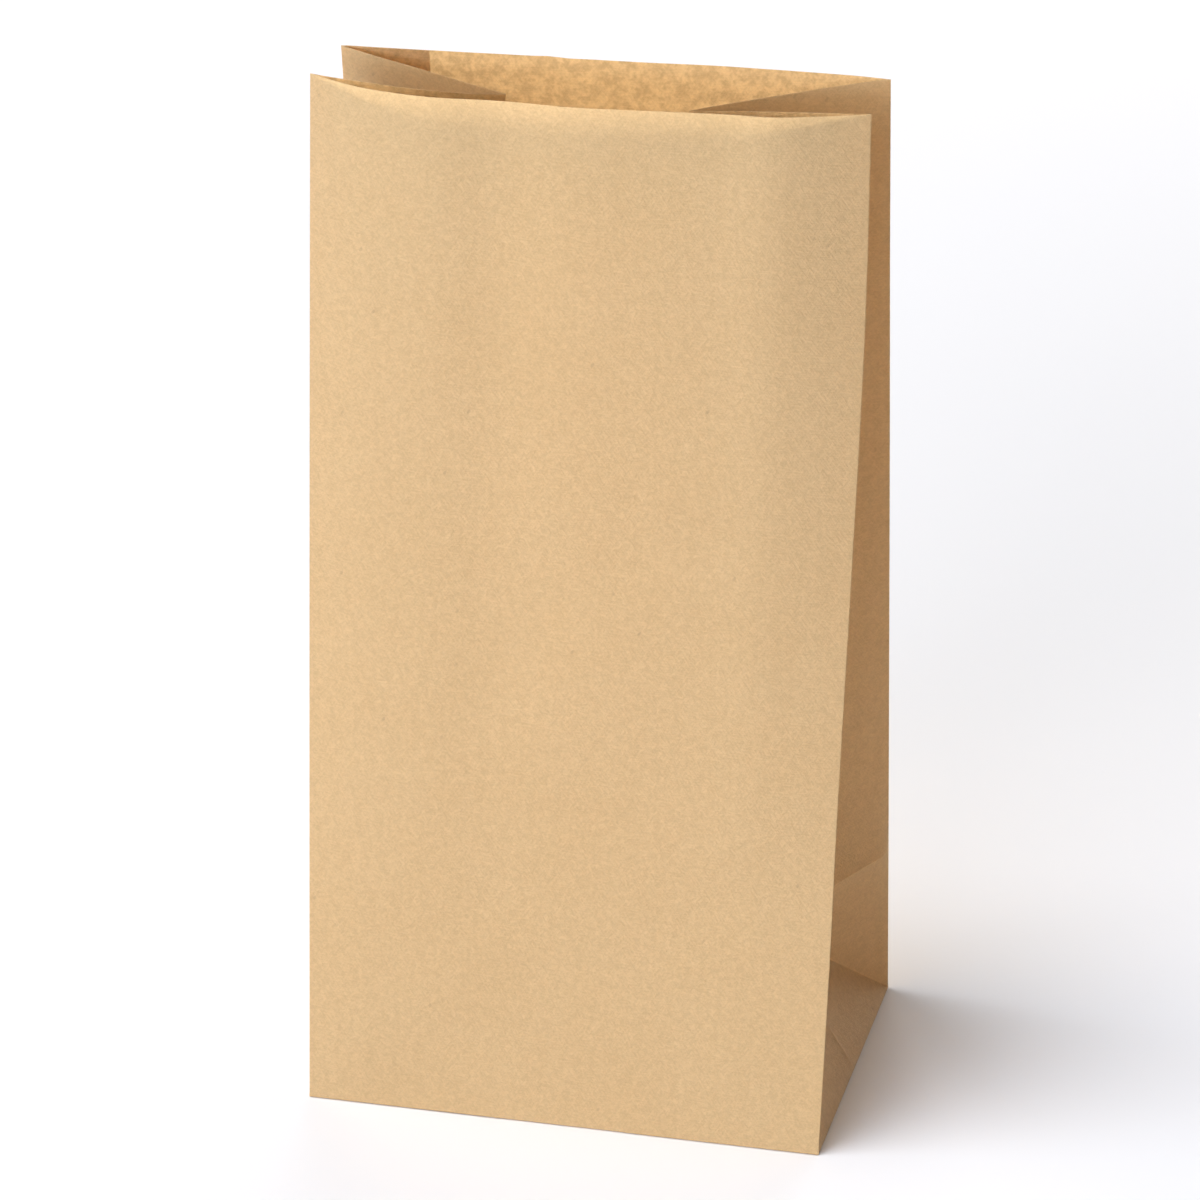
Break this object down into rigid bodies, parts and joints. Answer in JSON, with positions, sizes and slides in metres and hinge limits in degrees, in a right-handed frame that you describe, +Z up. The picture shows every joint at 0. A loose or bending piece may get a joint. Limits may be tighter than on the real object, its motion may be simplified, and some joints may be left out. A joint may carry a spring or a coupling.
{
  "type": "paper lunch bag",
  "caption": "Open brown kraft paper bag with pleated sides and a flat folded block bottom, standing upright to be filled from the top.",
  "frame": {"origin": "middle of the base rectangle, on the surface the bag stands on", "axes": "+Z up the bag, +X along the base's width to the viewer's right, -Y towards the smooth front panel; the glued lap is on the back panel"},
  "size_m": [0.1615, 0.1048, 0.315],
  "materials": {
    "kraft_paper": "uncoated, matt brown kraft with fine fibres and soft folds"
  },
  "bodies": {
    "root": {"paper_bag": "kraft_paper"}
  },
  "joints": []
}
